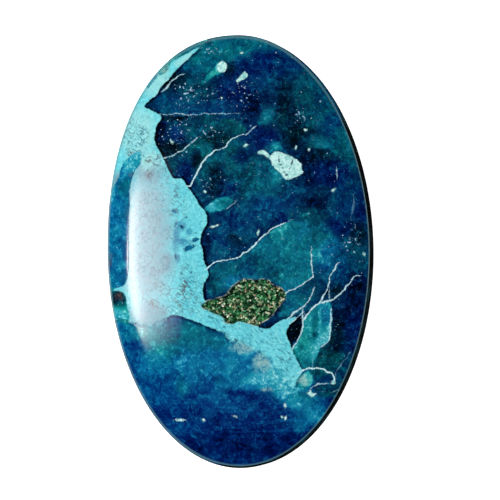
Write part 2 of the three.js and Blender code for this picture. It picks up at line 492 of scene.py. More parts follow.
        (235.2, 416.3, 2.1, 0.8, 20), (285, 405.5, 2.4, 1.1, 90), (282, 417, 1.4, 1.1, 20),
        (285.6, 418, 2.1, 1.1, -65), (258, 232.5, 2.4, 1, -75), (171.5, 141.5, 2.2, 1.1, 55),
        (245.8, 145.4, 2.4, 1.4, -20), (213, 226.8, 2.6, 0.9, -5), (217, 225.3, 2, 0.8, -25),
        (305.5, 130, 1.6, 1.2, 0), (205, 191.7, 1.5, 1, 40), (221.4, 98.4, 0.9, 1.4, 0),
        (333.5, 190, 2.2, 1, -45), (364, 254, 1.8, 1.2, 60), (296, 147.5, 1, 1.8, 10),
        (309, 149.5, 1.2, 1.4, 0), (241.5, 53, 1.5, 0.9, -20)],
    "mintBits": [(279, 159.5, 3, 0.8, 80), (286.5, 175.3, 1.6, 1.2, 60), (292, 162.5, 3.4, 0.7, 105),
        (283, 168, 1, 0.8, 0), (280.5, 165, 1.2, 0.8, 40), (284.5, 172, 1.2, 0.7, 30),
        (289.5, 169, 0.8, 0.8, 0)],
    # blue inclusions in the chalk
    "bits": [(195.5, 239.5, 3.7, 1.8, -22), (188.8, 248, 6.3, 2.2, -20), (176, 224, 3, 0.8, 115),
        (181.8, 227, 2.2, 1.5, 40), (186.2, 217, 1.2, 1.1, 0), (174.5, 211, 2.2, 1.4, 20),
        (195, 233, 2, 0.8, -20), (192, 272, 1.4, 1, 0), (176, 256, 3, 1, 80)],
    "bitTone": (0.5, 0.3),
    "sand": [(241, 348, 10, 6), (262, 362, 8, 10), (270, 391, 7, 2.5, 20), (164, 68, 3.5, 8, 35),
        (153, 78, 4, 3), (304, 380, 6, 4)],
    "rust": [(119, 296, 4, 5), (130, 152, 3, 4, 25), (132, 174, 4, 3), (184, 285, 3.2, 8, 15),
        (179, 303, 2.5, 5, -20), (155, 304, 5, 5), (110, 260, 2.5, 8), (192, 294, 2.5, 4),
        (158, 286, 4, 4), (149, 160, 4, 3), (150, 174, 4, 5)],
    "stain": [(180, 226, 6, 5), (184, 242, 9, 4, 20), (176.5, 238, 3.5, 14), (175, 211, 4, 3, 20),
        (178, 258, 3, 5), (189, 232, 3, 4)],
    "greyChalk": [(146, 240, 26, 76), (150, 172, 14, 18), (160, 262, 18, 16), (116, 185, 5, 14),
        (148, 313, 22, 12)],
    "paleChalk": [(138, 132, 20, 26), (160, 86, 16, 12, -45), (186, 58, 12, 4, -40), (150, 160, 14, 10)],
    "scribbles": [(152, 235, 24, 72), (160, 292, 26, 26), (190, 290, 14, 28), (156, 168, 14, 20),
        (135, 135, 14, 22), (178, 205, 10, 22)],
    "flecks": [(262, 336, 36, 9, 8), (284, 355, 9, 26, -22), (225, 322, 24, 7, 20), (190, 292, 16, 26),
        (135, 140, 14, 18), (178, 306, 16, 8)],
    "streaks": [(250, 424, 75, 24), (200, 402, 40, 8)],
    "specks": [(192, 95, 26, 14), (178, 135, 18, 20), (240, 95, 16, 14), (352, 238, 9, 18),
        (212, 50, 14, 7), (300, 118, 10, 10), (212, 130, 10, 8), (208, 186, 8, 8)],
    "wander": [(2.2, 5.0), (0.7, 2.5)],  # mm across each swerve of the colours, and pixels that it reaches
    "outlineWander": 0.15,               # shares of that
    "toneWander": 0.6,
    "spotWander": 0.3,
    "blur": 0.9,                         # pixels either side of an outline
    "underChalk": 4.0,                   # pixels that the areas beside the chalk go on under it
    "shadow": 0.25,                      # how much darker the stone is along the chalk
}


def paintTones(places, paint):
    # every cloud pulls the tone its own way, most at its middle
    weight = np.full(len(places), markings["baseWeight"])
    tone = np.tile(paint["base"], (len(places), 1)) * markings["baseWeight"]
    for name, ovals in paint["clouds"].items():
        for oval in ovals:
            pull = np.exp(-ovalReach(places, oval) ** 2)
            weight += pull
            tone += np.array(markings["tones"][name]) * pull[:, None]
    return tone / weight[:, None]


def laySpots(places, ovals):
    # soft patches of full strength up to half way out
    return np.max([softStep(ovalReach(places, oval), 1.4, 0.5) for oval in ovals], axis=0)


def dabEdges(places, ovals):
    return np.max([(1 - ovalReach(places, oval)) * oval[3] for oval in ovals], axis=0)


def blend(tone, other, share):
    return tone * (1 - share[:, None]) + other * share[:, None]


def stoneFields(points, pocketDepth):
    # one number for each point and marking, in mm where it is a distance
    pixels = toPicture(points)
    wandering = sum(drift(points, size, reach) for size, reach in markings["wander"])
    adrift = pixels + wandering
    uneven = pixels + wandering * markings["outlineWander"]
    blur = markings["blur"]
    frayed = laySpots(pixels, markings["frayed"])
    tone = paintTones(adrift, markings["upper"])
    inside = {}
    for name, region in markings["regions"].items():
        inside[name] = insideDistance(uneven, region["outline"])
        spread = markings["underChalk"] if name in markings["notChalk"] else blur
        painted = paintTones(pixels + wandering * markings["toneWander"], region)
        tone = blend(tone, painted, softStep(inside[name], -spread, blur - spread / 2))
    bits = dabEdges(uneven, markings["bits"])
    tone = blend(tone, np.array(markings["bitTone"]), softStep(bits, -blur, blur))
    edge = insideDistance(pixels + wandering * frayed[:, None], markings["chalk"])
    chalk = np.min([edge, -bits, *(-inside[name] for name in markings["notChalk"])], axis=0)
    besideChalk = softStep(edge, -4.0, -0.5) * (1 - softStep(edge, 0.5, 2.0)) * (1 - frayed)
    mint = np.max([insideDistance(pixels, outline) for outline in markings["mint"]]
                  + [dabEdges(pixels, markings["mintDabs"])], axis=0)
    mint = np.minimum(mint, -dabEdges(pixels, markings["mintBits"]))
    # where the near-black rock rises to the face, as painted shade on the wall
    paintedShadeRise = paintedShadeRimShare(points[:, 0] / stoneWidth, points[:, 1] / stoneLength)
    low, high = stone["rockTop"]
    fields = {
        "rockAndPaintedShadeEdge": low + (high - low) * paintedShadeRise - points[:, 2],
        "toneLight": tone[:, 0] - markings["shadow"] * besideChalk, "toneGreen": tone[:, 1],
        "chalkEdge": chalk / camera["pixelsPerMm"], "mintEdge": mint / camera["pixelsPerMm"],
        "pocketEdge": pocketDepth, "frayed": frayed}
    for name in ("sand", "greyChalk", "paleChalk", "scribbles", "flecks", "specks", "streaks"):
        fields[name] = laySpots(adrift, markings[name])
    for name in ("rust", "stain"):
        fields[name] = laySpots(pixels + wandering * markings["spotWander"], markings[name])
    fields["specks"] -= softStep(inside["lower"], -8, 4)  # the lower blue has hardly any
    return fields


# Veins as (x, y, width) along each line, in pixels. Lines that meet stand in different families

veins = {
    "families": [
        [
            (1.0, [(186, 186, 1.6), (190.5, 184.7, 2), (195.5, 175, 2.4), (202, 163.5, 2.2),
                   (209, 155, 2), (215.5, 150.3, 1.6), (219.5, 149.4, 0.6), (225, 147.3, 1.8),
                   (229.5, 141, 1.6), (236, 137, 1.4), (244, 134.5, 0.7)]),
            (0.8, [(247, 134, 1.6), (250, 130.5, 1.2)]),
            (0.8, [(252.5, 128.7, 1.6), (255.5, 126.5, 1.6)]),
            (1.0, [(206, 269, 2), (211, 265, 1.7), (220, 260.5, 1.6), (228, 259.5, 1.2),
                   (237, 258.5, 1.6), (243, 252.8, 1.6), (248.5, 251.5, 2), (254, 245, 2.2),
                   (261, 238.5, 1.6), (270.5, 230.5, 1.5), (279, 225, 1.4), (284, 223, 1.2)]),
            (0.9, [(283, 300.5, 1.6), (284.5, 293.5, 1.8), (294, 289, 1.5), (305, 282.8, 1.3),
                   (310, 279.5, 1.6)]),
            (0.9, [(338.5, 263, 1.2), (334, 270, 1.6), (330.5, 275.5, 0.9), (329, 281, 1.5),
                   (326.5, 290, 1.8), (322.5, 298, 2), (320, 302.5, 2.6)]),
            (0.85, [(303, 309, 1.2), (302.7, 314, 1.4), (303, 320, 2), (302.6, 327, 2), (301, 334, 1.8),
                    (296.5, 342, 1.6), (291.5, 350.5, 1.2)]),
            (0.9, [(331.5, 309, 1.2), (331.3, 318, 1.8), (330.4, 330, 1.8), (329, 340, 1.6)]),
            (1.0, [(299, 372.5, 1.2), (303, 370.3, 1.6), (309, 368.9, 1.8), (316, 368.4, 1.8),
                   (324, 369.8, 1.8), (332, 374, 2.2), (334, 377, 2.4), (333.8, 381, 3)]),
            (0.7, [(163, 159, 1.2), (168, 157, 1.4), (174.7, 154.5, 1.6), (188, 146, 1.6),
                   (197.5, 137, 1.4)]),
        ],
        [
            (0.9, [(359, 275.3, 1.6), (355, 276.5, 1.2), (350, 282, 2), (344, 290, 2), (337, 296, 2.4),
                   (330, 300.5, 2), (322, 302.5, 2.2)]),
            (0.85, [(313.7, 288.5, 1.4), (310, 298.5, 1.2), (304, 306, 1.6), (299, 309.5, 1.8),
                    (293, 313.5, 2), (288, 319, 1.8)]),
            (0.9, [(310, 279.5, 1.6), (312.7, 277, 1.6), (313, 273, 1.4), (311.4, 263, 1.4),
                   (311.7, 249, 1)]),
            (0.9, [(329, 340.5, 1.4), (325, 343.5, 1.6), (320.5, 346.8, 1.2)]),
            (0.75, [(311, 388.5, 1.2), (314.5, 386, 1.6), (320, 383.8, 1.6), (327, 384, 0.9)]),
            (0.35, [(336.2, 377, 1), (336.6, 372, 1.4), (342, 363.5, 1.4), (350.5, 351.5, 1)]),
            (0.6, [(161, 114.5, 0.8), (170, 114.2, 1), (180, 113.8, 1.4), (186, 114.8, 1.4),
                   (192, 115.3, 0.8), (200, 114.6, 0.5), (206, 113, 1), (212, 114.2, 1.4),
                   (218, 113.8, 0.7), (225, 114, 1.2), (232, 113.4, 0.7), (240, 113, 0.5)]),
            (0.75, [(183, 74, 1.4), (177, 77.5, 1.6), (171, 82, 1.2), (167, 87.5, 1.8), (162, 92, 1)]),
            (0.7, [(336, 168, 1.2), (336.7, 173, 1.8), (337, 178, 0.9)]),
            (0.5, [(227, 209, 1.2), (233, 205, 1.4), (236.5, 200.5, 1)]),
        ],
        [
            (0.95, [(320, 302.5, 2.4), (314, 307, 2.2), (310, 311.5, 2), (304, 319, 2.2),
                    (302.8, 322, 1.6)]),
            (0.6, [(329.3, 287, 0.9), (329.6, 294, 1.6), (329.5, 300, 1.6)]),
            (0.8, [(302, 313.5, 1.2), (297, 317.3, 1.6), (292, 321.5, 1.8), (288, 326, 1.2)]),
            (0.4, [(313.6, 360, 1), (313.2, 367.5, 1.2)]),
            (0.4, [(332.5, 391.7, 1.4), (339.5, 389.3, 1.2)]),
            (0.45, [(284, 223, 1), (291.5, 220, 1.2)]),
            (0.35, [(354, 196, 1), (353.5, 204, 1.6), (351, 218, 0.8)]),
        ],
    ],
    "breadth": 0.72,  # of the widths above, which hold the blur of the photograph
    "reach": 4.0,  # pixels from its line past which a vein leaves no trace
    "wander": (0.6, 1.4),  # mm across each swerve, and pixels that it reaches
}


def veinFields(pixels):
    # the distance to the nearest vein, signed by side so that it stays even between points, with the vein's
    # half width and how pale it is
    fields = {}
    for family, lines in enumerate(veins["families"]):
        nearest = np.full(len(pixels), np.inf)
        signed = np.full(len(pixels), veins["reach"])
        half = np.full(len(pixels), -veins["reach"])
        pale = np.zeros(len(pixels))
        for paleness, line in lines:
            curve = smoothLine(line, False, 5)
            for a, b in zip(curve[:-1], curve[1:]):
                side = (b - a)[:2]
                away = pixels - a[:2]
                share = np.clip(away @ side / (side @ side), 0, 1)
                gap = np.hypot(*(away - share[:, None] * side).T)
                closer = (gap < nearest) & (gap < veins["reach"])
                nearest = np.where(closer, gap, nearest)
                turn = np.where(away[:, 1] * side[0] - away[:, 0] * side[1] < 0, -1, 1)
                signed = np.where(closer, gap * turn, signed)
                half = np.where(closer, (a[2] + share * (b - a)[2]) * veins["breadth"] / 2, half)
                pale = np.where(closer, paleness, pale)
        half = np.where(nearest < veins["reach"] - 1, half, -veins["reach"])
        fields[f"veinSide{family}"] = signed / camera["pixelsPerMm"]
        fields[f"veinHalf{family}"] = half / camera["pixelsPerMm"]
        fields[f"veinPale{family}"] = pale
    return fields


# Polished shattuckite with chrysocolla: a copper silicate ground on finer and finer grit, so that it shines
# like glass over deep blue and teal, with chalky turquoise areas that keep a fine grain. A level is the span
# of a noise, which lies about 0.5, from where a mark begins to where it is full

shattuckite = {
    "blues": [(0.0, "#00030e"), (0.14, "#000d42"), (0.28, "#011f5e"), (0.42, "#033f77"), (0.58, "#066094"),
              (0.72, "#1484af"), (0.88, "#44aac7"), (1.0, "#8ed4e2")],  # from the dark to the pale stone
    "teals": [(0.0, "#00080a"), (0.14, "#011b22"), (0.28, "#02363c"), (0.42, "#045256"), (0.58, "#097073"),
              (0.72, "#128f8e"), (0.88, "#3eb2b0"), (1.0, "#8cdad6")],
    "chalks": [(0.1, "#3a94a6"), (0.33, "#58bfce"), (0.52, "#68d0dc"), (0.72, "#80dce2"), (0.92, "#b8f0ee")],
    "veins": [(0.1, "#3d90b6"), (0.6, "#c6edf4")],  # faint, full
    "mints": [(0.3, "#6fb9b7"), (0.46, "#a6dedb"), (0.62, "#cbf0ed")],
    "greyChalk": "#67869a", "paleChalk": "#97d8d9", "stain": "#2383a8",
    "scribble": "#4c7688", "crack": "#3d93a6", "fleck": "#1f748c",
    "sand": "#93b4b0", "rust": "#4b3c3e", "speck": "#a6cbe8",
    # edge is the painted shade and sheen along the rim
    # rim is a painted highlight along the pocket's edge, floor painted shade inside the pocket
    "edge": "#56858d", "rim": "#a9b59c", "floor": "#0c2015",
    "cloudSize": 1.5,            # mm across the mottling
    "grainSize": 0.45,           # mm across the grains
    "fineSize": 0.17,            # mm across the finest grains, one and a half pixels of the photograph
    "mottle": {"cloud": 0.6, "grain": 0.35, "fine": 0.35},  # how far each lightens or darkens the stone
    "clumpLevel": (0.54, 0.64),  # grains that stand together
    "clump": 0.12,               # how much lighter they are
    "greenShift": 1.2,           # how far the mottling turns between blue and teal
    "speckSize": 0.26,           # mm across the pale specks
    "speckOffset": (31.0, 17.0, 5.0),  # mm, so that they don't follow the grains
    "speckGather": (0.2, 0.1),   # how far the mottling and the speckled patches bring them out
    "speckLevel": (0.72, 0.81),
    "streakSize": (6.0, 0.35),   # mm along and across the streaks low in the blue
    "streakLevel": (0.52, 0.68),
    "streak": 0.1,               # how much lighter they are
    "fray": (0.3, 1.9),          # mm that the chalk's edge wanders, where it is sharp and where it is frayed
    "chalkBlur": (0.06, 0.5),    # mm of blend along it, likewise
    "chalkMottle": (0.6, 0.9),   # how far the mottling and the finest grains change the chalk
    "chalkCover": 0.3,           # added to the mottling, how thickly grey or pale chalk covers its patches
    "curlSize": 0.7,             # mm between the curling hair lines of the greyer chalk
    "curlWidth": (0.05, 0.01),   # either side of the noise's middle
    "curlLevel": (0.38, 0.55),
    "crackSize": 0.8,            # mm between the chalk's hair cracks
    "crackBend": 0.5,            # mm
    "crackWidth": (0.07, 0.0),   # shares of a cell
    "crackLevel": (0.5, 0.65),
    "fleckSize": (0.5, 0.13),    # mm along and across the chalk's flecks
    "fleckTurn": 40,             # degrees that they run down to the right
    "fleckGather": 0.13,         # how far the flecked patches bring them out
    "fleckLevel": (0.66, 0.77),
    "stainLevel": (0.32, 0.52),
    "mintWaver": 0.35,           # mm
    "mintBlur": (-0.07, 0.07),   # mm
    "mintMottle": 0.5,
    "veinWaver": 0.3,            # mm
    "veinBlur": (-0.06, 0.06),   # mm
    "veinLevel": (0.35, 0.55),   # grains over which a vein goes from its faintest to full
    "veinFaintest": 0.65,
    "rimHighlightWidth": (0.12, 0.03),    # mm from the pocket's edge, of the painted highlight along it
    "rimHighlightLevel": (0.45, 0.65),
    "pocketShadeEdge": (0.04, 0.12),   # mm inside the pocket's edge where its painted shade begins and is full
    "sandCover": 0.5,            # share of its patches that sand covers
    "sandMottle": 2.0,           # how far each of the three noises breaks it up
    "rustLevel": (0.46, 0.56),   # of the flecks' strokes
    "rustGrain": (0.36, 0.5),
    "paintedRimShadeAndSheenEdge": (0.06, -0.02),   # mm above the wall where the painted line along the rim, the edge's shade and sheen, begins and is full
    "ior": 1.6,                  # between chrysocolla and shattuckite
    "roughness": (0.03, 0.09),   # glassy stone, chalk
    "roughGrain": 0.08,          # how much the grains add to that
}


def span(level):
    # a level as the ends of a Map Range node
    return {"From Min": level[0], "From Max": level[1]}


def addUp(tree, total, shares):
    # a value with shares of others added to it
    for value, share in shares:
        total = addNode(tree, "Math", {0: value, 1: share, 2: total}, operation="MULTIPLY_ADD")[0]
    return total


def layOver(tree, colour, layers):
    # each layer is a mask and a hex colour or a node's output
    for mask, over in layers:
        over = hexToLinear(over) if isinstance(over, str) else over
        colour = addNode(tree, "Mix", {0: mask, 6: colour, 7: over}, data_type="RGBA")[2]
    return colour


def stoneSources(tree):
    # what the patterns are made from: the place in mm, the painted fields and three sizes of noise
    place = addNode(tree, "TexCoord")["Object"]
    source = {"inMm": addNode(tree, "VectorMath", {0: place, "Scale": 1 / mm}, operation="SCALE")[0]}
    for name in ("toneLight", "toneGreen", "chalkEdge", "frayed", "mintEdge", "pocketEdge", "sand", "rust",
                 "stain", "greyChalk", "paleChalk", "scribbles", "flecks", "specks", "streaks"):
        source[name] = addNode(tree, "Attribute", attribute_name=name)["Fac"]
    for name in ("cloud", "grain", "fine"):
        wave = addNode(tree, "TexNoise", {
            "Vector": source["inMm"], "Scale": 1 / shattuckite[name + "Size"], "Detail": 3.0,
            "Roughness": 0.6, "Distortion": 1.0})
        source[name] = wave["Fac"]
        source[name + "Colour"] = wave["Color"]
        source[name + "Centred"] = addNode(tree, "Math", {0: wave["Fac"], 1: -0.5}, operation="ADD")[0]
    return source


def blueStone(tree, source):
    # the painted tone, mottled, grained and streaked, on the blue and the teal ramp
    look = shattuckite
    clump = addNode(tree, "MapRange", {"Value": source["grain"], **span(look["clumpLevel"])},
                    interpolation_type="SMOOTHSTEP")[0]
    long, thick = look["streakSize"]
    drawn = addNode(tree, "VectorMath", {0: source["inMm"], 1: (1 / long, 1 / thick, 1 / long)},
                    operation="MULTIPLY")[0]
    streaks = addNode(tree, "TexNoise", {"Vector": drawn, "Scale": 1.0, "Detail": 2.0})[0]
    streak = addNode(tree, "MapRange", {
        "Value": streaks, **span(look["streakLevel"]), "To Max": source["streaks"]})[0]
    shares = [(source[name + "Centred"], share) for name, share in look["mottle"].items()]
    light = addUp(tree, source["toneLight"], shares + [(clump, look["clump"]), (streak, look["streak"])])
    light = addNode(tree, "Clamp", {"Value": light})[0]
    shift = addNode(tree, "Math", {0: source["cloudColour"], 1: -0.5}, operation="ADD")[0]
    green = addNode(tree, "Math", {0: shift, 1: look["greenShift"], 2: source["toneGreen"]},
                    operation="MULTIPLY_ADD", use_clamp=True)[0]
    blues, teals = (addNode(tree, "ValToRGB", {"Fac": light}, look[name])[0] for name in ("blues", "teals"))
    return addNode(tree, "Mix", {0: green, 6: blues, 7: teals}, data_type="RGBA")[2]


def paleSpecks(tree, source):
    # where a fine noise peaks, thick in some places and thin in others
    look = shattuckite
    moved = addNode(tree, "VectorMath", {0: source["inMm"], 1: look["speckOffset"]}, operation="ADD")[0]
    peaks = addNode(tree, "TexNoise", {"Vector": moved, "Scale": 1 / look["speckSize"], "Detail": 1.5})[0]
    byCloud, byPatch = look["speckGather"]
    raised = addUp(tree, peaks, [(source["cloudCentred"], byCloud), (source["specks"], byPatch)])
    return addNode(tree, "MapRange", {"Value": raised, **span(look["speckLevel"]), "To Max": 0.9})[0]


def strokeNoise(tree, source):
    # drawn out into short strokes, for the flecks and the rust
    angle = math.radians(shattuckite["fleckTurn"])
    turned = addNode(tree, "VectorRotate", {"Vector": source["inMm"], "Angle": angle},
                     rotation_type="Z_AXIS")[0]
    long, thick = shattuckite["fleckSize"]
    drawn = addNode(tree, "VectorMath", {0: turned, 1: (1 / long, 1 / thick, 1 / long)},
                    operation="MULTIPLY")[0]
    return addNode(tree, "TexNoise", {"Vector": drawn, "Scale": 1.0, "Detail": 2.0})[0]


def chalkCover(tree, source):
    # sharp and a little ragged along its edge, but frayed away in places
    sharp, loose = shattuckite["fray"]
    fray = addUp(tree, sharp, [(source["frayed"], loose - sharp)])
    edge = addUp(tree, source["chalkEdge"], [(source["grainCentred"], fray)])
    crisp, blurred = shattuckite["chalkBlur"]
    soft = addNode(tree, "MapRange", {"Value": source["frayed"], "To Min": crisp, "To Max": blurred})[0]
    outer = addNode(tree, "Math", {0: soft, 1: -1.0}, operation="MULTIPLY")[0]
    return addNode(tree, "MapRange", {"Value": edge, **span((outer, soft))},
                   interpolation_type="SMOOTHSTEP")[0]


def chalkColour(tree, source, strokes):
    # greyer or paler in places, stained, and lightly lined, cracked and flecked
    look = shattuckite
    byCloud, byFine = look["chalkMottle"]
    mottled = addUp(tree, source["grain"], [(source["cloudCentred"], byCloud)])
    tone = addUp(tree, mottled, [(source["fineCentred"], byFine)])
    chalk = addNode(tree, "ValToRGB", {"Fac": tone}, look["chalks"])[0]
    cover = addNode(tree, "Math", {0: mottled, 1: look["chalkCover"]}, operation="ADD")[0]
    grey, pale = (addNode(tree, "Math", {0: source[name], 1: cover}, operation="MULTIPLY", use_clamp=True)[0]
                  for name in ("greyChalk", "paleChalk"))
    stain = addNode(tree, "MapRange", {
        "Value": source["grain"], **span(look["stainLevel"]), "To Max": source["stain"]})[0]
    curls = addNode(tree, "TexNoise", {
        "Vector": source["inMm"], "Scale": 1 / look["curlSize"], "Detail": 1.0})[0]
    offLine = addNode(tree, "Math", {0: curls, 1: 0.5}, operation="SUBTRACT")[0]
    lineGap = addNode(tree, "Math", {0: offLine}, operation="ABSOLUTE")[0]
    curlLine = addNode(tree, "MapRange", {
        "Value": lineGap, **span(look["curlWidth"]), "To Max": source["scribbles"]})[0]
    scribble = addNode(tree, "MapRange", {
        "Value": source["cloud"], **span(look["curlLevel"]), "To Max": curlLine})[0]
    bend = [look["crackBend"]] * 3
    bent = addNode(tree, "VectorMath", {0: source["grainColour"], 1: bend, 2: source["inMm"]},
                   operation="MULTIPLY_ADD")[0]
    cells = addNode(tree, "TexVoronoi", {"Vector": bent, "Scale": 1 / look["crackSize"]},
                    feature="DISTANCE_TO_EDGE")[0]
    crackLine = addNode(tree, "MapRange", {"Value": cells, **span(look["crackWidth"]), "To Max": 0.8})[0]
    crack = addNode(tree, "MapRange", {
        "Value": source["cloud"], **span(look["crackLevel"]), "To Max": crackLine})[0]
    raised = addUp(tree, strokes, [(source["flecks"], look["fleckGather"])])
    fleck = addNode(tree, "MapRange", {"Value": raised, **span(look["fleckLevel"]), "To Max": 0.85})[0]
    return layOver(tree, chalk, [
        (grey, look["greyChalk"]), (pale, look["paleChalk"]), (stain, look["stain"]),
        (scribble, look["scribble"]), (crack, look["crack"]), (fleck, look["fleck"])])


def sandAndRust(tree, source, strokes):
    # sand in broken wisps, rust in strokes
    look = shattuckite
    shares = [(source[name + "Centred"], look["sandMottle"]) for name in ("cloud", "grain", "fine")]
    cover = addNode(tree, "Clamp", {"Value": addUp(tree, look["sandCover"], shares)})[0]
    sand = addNode(tree, "Math", {0: source["sand"], 1: cover}, operation="MULTIPLY")[0]
    stroke = addNode(tree, "MapRange", {
        "Value": strokes, **span(look["rustLevel"]), "To Max": source["rust"]})[0]
    rust = addNode(tree, "MapRange", {
        "Value": source["fine"], **span(look["rustGrain"]), "To Max": stroke})[0]
    return sand, rust


def veinLines(tree, source):
    # a vein lies where the distance to its line is less than its half width, which wavers
    look = shattuckite
    bright = addNode(tree, "MapRange", {
        "Value": source["grain"], **span(look["veinLevel"]), "To Min": look["veinFaintest"]})[0]
    masks = []
    for family in range(len(veins["families"])):
        side, half, pale = (addNode(tree, "Attribute", attribute_name=f"vein{part}{family}")["Fac"]
                            for part in ("Side", "Half", "Pale"))
        gap = addNode(tree, "Math", {0: side}, operation="ABSOLUTE")[0]
        width = addUp(tree, half, [(source["fineCentred"], look["veinWaver"])])
        inside = addNode(tree, "Math", {0: width, 1: gap}, operation="SUBTRACT")[0]
        shown = addNode(tree, "Math", {0: pale, 1: bright}, operation="MULTIPLY")[0]
        masks.append(addNode(tree, "MapRange", {"Value": inside, **span(look["veinBlur"]), "To Max": shown},
                             interpolation_type="SMOOTHSTEP")[0])
    together = masks[0]
    for mask in masks[1:]:
        together = addNode(tree, "Math", {0: together, 1: mask}, operation="MAXIMUM")[0]
    return together, addNode(tree, "ValToRGB", {"Fac": together}, look["veins"])[0]


def mintPatches(tree, source):
    # pale spots with crisp, slightly uneven edges
    look = shattuckite
    edge = addUp(tree, source["mintEdge"], [(source["fineCentred"], look["mintWaver"])])
    mask = addNode(tree, "MapRange", {"Value": edge, **span(look["mintBlur"])},
                   interpolation_type="SMOOTHSTEP")[0]
    tone = addUp(tree, source["grain"], [(source["fineCentred"], look["mintMottle"])])
    return mask, addNode(tree, "ValToRGB", {"Fac": tone}, look["mints"])[0]


def pocketHighlightAndShade(tree, source):
    # a painted highlight along the pocket's edge, broken here and there, and painted shade on the floor
    # inside it
    look = shattuckite
    gap = addNode(tree, "Math", {0: source["pocketEdge"]}, operation="ABSOLUTE")[0]
    line = addNode(tree, "MapRange", {"Value": gap, **span(look["rimHighlightWidth"])},
                   interpolation_type="SMOOTHSTEP")[0]
    crust = addNode(tree, "MapRange", {
        "Value": source["grain"], **span(look["rimHighlightLevel"]), "To Max": line})[0]
    floor = addNode(tree, "MapRange", {"Value": source["pocketEdge"], **span(look["pocketShadeEdge"])})[0]
    return crust, floor


def stoneColour(tree):
    # all that is colour in the stone, from the lowest layer up
    look = shattuckite
    source = stoneSources(tree)
    strokes = strokeNoise(tree, source)
    chalk = chalkCover(tree, source)
    sand, rust = sandAndRust(tree, source, strokes)
    crust, floor = pocketHighlightAndShade(tree, source)
    colour = layOver(tree, blueStone(tree, source), [
        (paleSpecks(tree, source), look["speck"]), (chalk, chalkColour(tree, source, strokes)),
        (sand, look["sand"]), (rust, look["rust"]), veinLines(tree, source), mintPatches(tree, source),
        # the pocket's painted highlight along its edge and painted shade inside it
        (crust, look["rim"]), (floor, look["floor"])])
    return colour, chalk, source


def polishedStone():
    # chalk takes a duller polish than the glassy stone, and its grain stands up a little
    look = shattuckite
    material, tree = newMaterial("polishedShattuckite")
    colour, chalk, source = stoneColour(tree)
    height = addNode(tree, "SeparateXYZ", {0: source["inMm"]})["Z"]
    # a painted line along the rim, the edge's shade and sheen, darker than the chalk and paler than the blue
    # stone
    paintedRimShadeAndSheenFrom, paintedRimShadeAndSheenTo = (stone["wallTop"] + above for above in look["paintedRimShadeAndSheenEdge"])
    paintedRimShadeAndSheen = addNode(tree, "MapRange", {"Value": height, **span((paintedRimShadeAndSheenFrom, paintedRimShadeAndSheenTo)), "To Max": 0.6})[0]
    colour = layOver(tree, colour, [(paintedRimShadeAndSheen, look["edge"])])
    glassy, dull = look["roughness"]
    polish = addNode(tree, "MapRange", {"Value": chalk, "To Min": glassy, "To Max": dull})[0]
    rough = addUp(tree, polish, [(source["grain"], look["roughGrain"])])
    relief = addNode(tree, "Math", {0: source["grain"], 1: chalk}, operation="MULTIPLY")[0]
    bump = addNode(tree, "Bump", {"Strength": 0.12, "Distance": 0.1 * mm, "Height": relief})[0]
    shader = addNode(tree, "BsdfPrincipled", {
        "Base Color": colour, "Roughness": rough, "IOR": look["ior"], "Normal": bump})
    addNode(tree, "OutputMaterial", {"Surface": shader[0]})
    return material


# The wall and back were ground on a coarse wheel and left matt. The blue stone lies there over the rock that
# it grew on, near black with dull copper stains. On the right and lower side that rock rises to the face as
# painted shade

rock = {
    "colours": [
        (0.32, "#050606"), (0.46, "#090c0c"), (0.6, "#0f1c1f"), (0.72, "#123a41"), (0.84, "#1d626b")],
    "patchSize": 3.0,      # mm across the stains
    "ragged": 3.0,         # mm that the boundary between stone and rock wanders
    "blur": (-0.15, 0.15),  # mm of blend along it
    "wheelMark": 0.12,     # mm between the wheel's scratches
    "markStretch": (0.15, 1.0, 1.0),  # less than 1 along the axis that they are drawn out on
    "dulled": 0.75,        # the stone's colour under the scratches
    "ior": 1.55,
    "roughness": (0.5, 0.75),
}


def groundStone():
    material, tree = newMaterial("groundShattuckite")
    colour, _, source = stoneColour(tree)
    inMm = source["inMm"]
    patch = addNode(tree, "TexNoise", {"Vector": inMm, "Scale": 1 / rock["patchSize"], "Detail": 5.0})[0]
    rockColour = addNode(tree, "ValToRGB", {"Fac": patch}, rock["colours"])[0]
    dulled = addNode(tree, "VectorMath", {0: colour, "Scale": rock["dulled"]}, operation="SCALE")[0]
    edge = addNode(tree, "Attribute", attribute_name="rockAndPaintedShadeEdge")["Fac"]
    wander = addNode(tree, "Math", {0: patch, 1: -0.5}, operation="ADD")[0]
    ragged = addUp(tree, edge, [(wander, rock["ragged"])])
    # host rock low on the wall, and up to the face on the right and lower side as painted shade
    rockAndPaintedShadeMask = addNode(tree, "MapRange", {"Value": ragged, **span(rock["blur"])},
                       interpolation_type="SMOOTHSTEP")[0]
    both = layOver(tree, dulled, [(rockAndPaintedShadeMask, rockColour)])
    stretched = addNode(tree, "VectorMath", {0: inMm, 1: rock["markStretch"]}, operation="MULTIPLY")[0]
    marks = addNode(tree, "TexNoise", {
        "Vector": stretched, "Scale": 1 / rock["wheelMark"], "Detail": 2.0})[0]
    low, high = rock["roughness"]
    rough = addNode(tree, "MapRange", {"Value": marks, "To Min": low, "To Max": high})[0]
    bump = addNode(tree, "Bump", {"Strength": 0.3, "Distance": 0.03 * mm, "Height": marks})[0]
    shader = addNode(tree, "BsdfPrincipled", {
        "Base Color": both, "Roughness": rough, "IOR": rock["ior"], "Normal": bump,
        "Specular IOR Level": 0.0})  # too coarse to reflect, even aslant
    addNode(tree, "OutputMaterial", {"Surface": shader[0]})
    return material


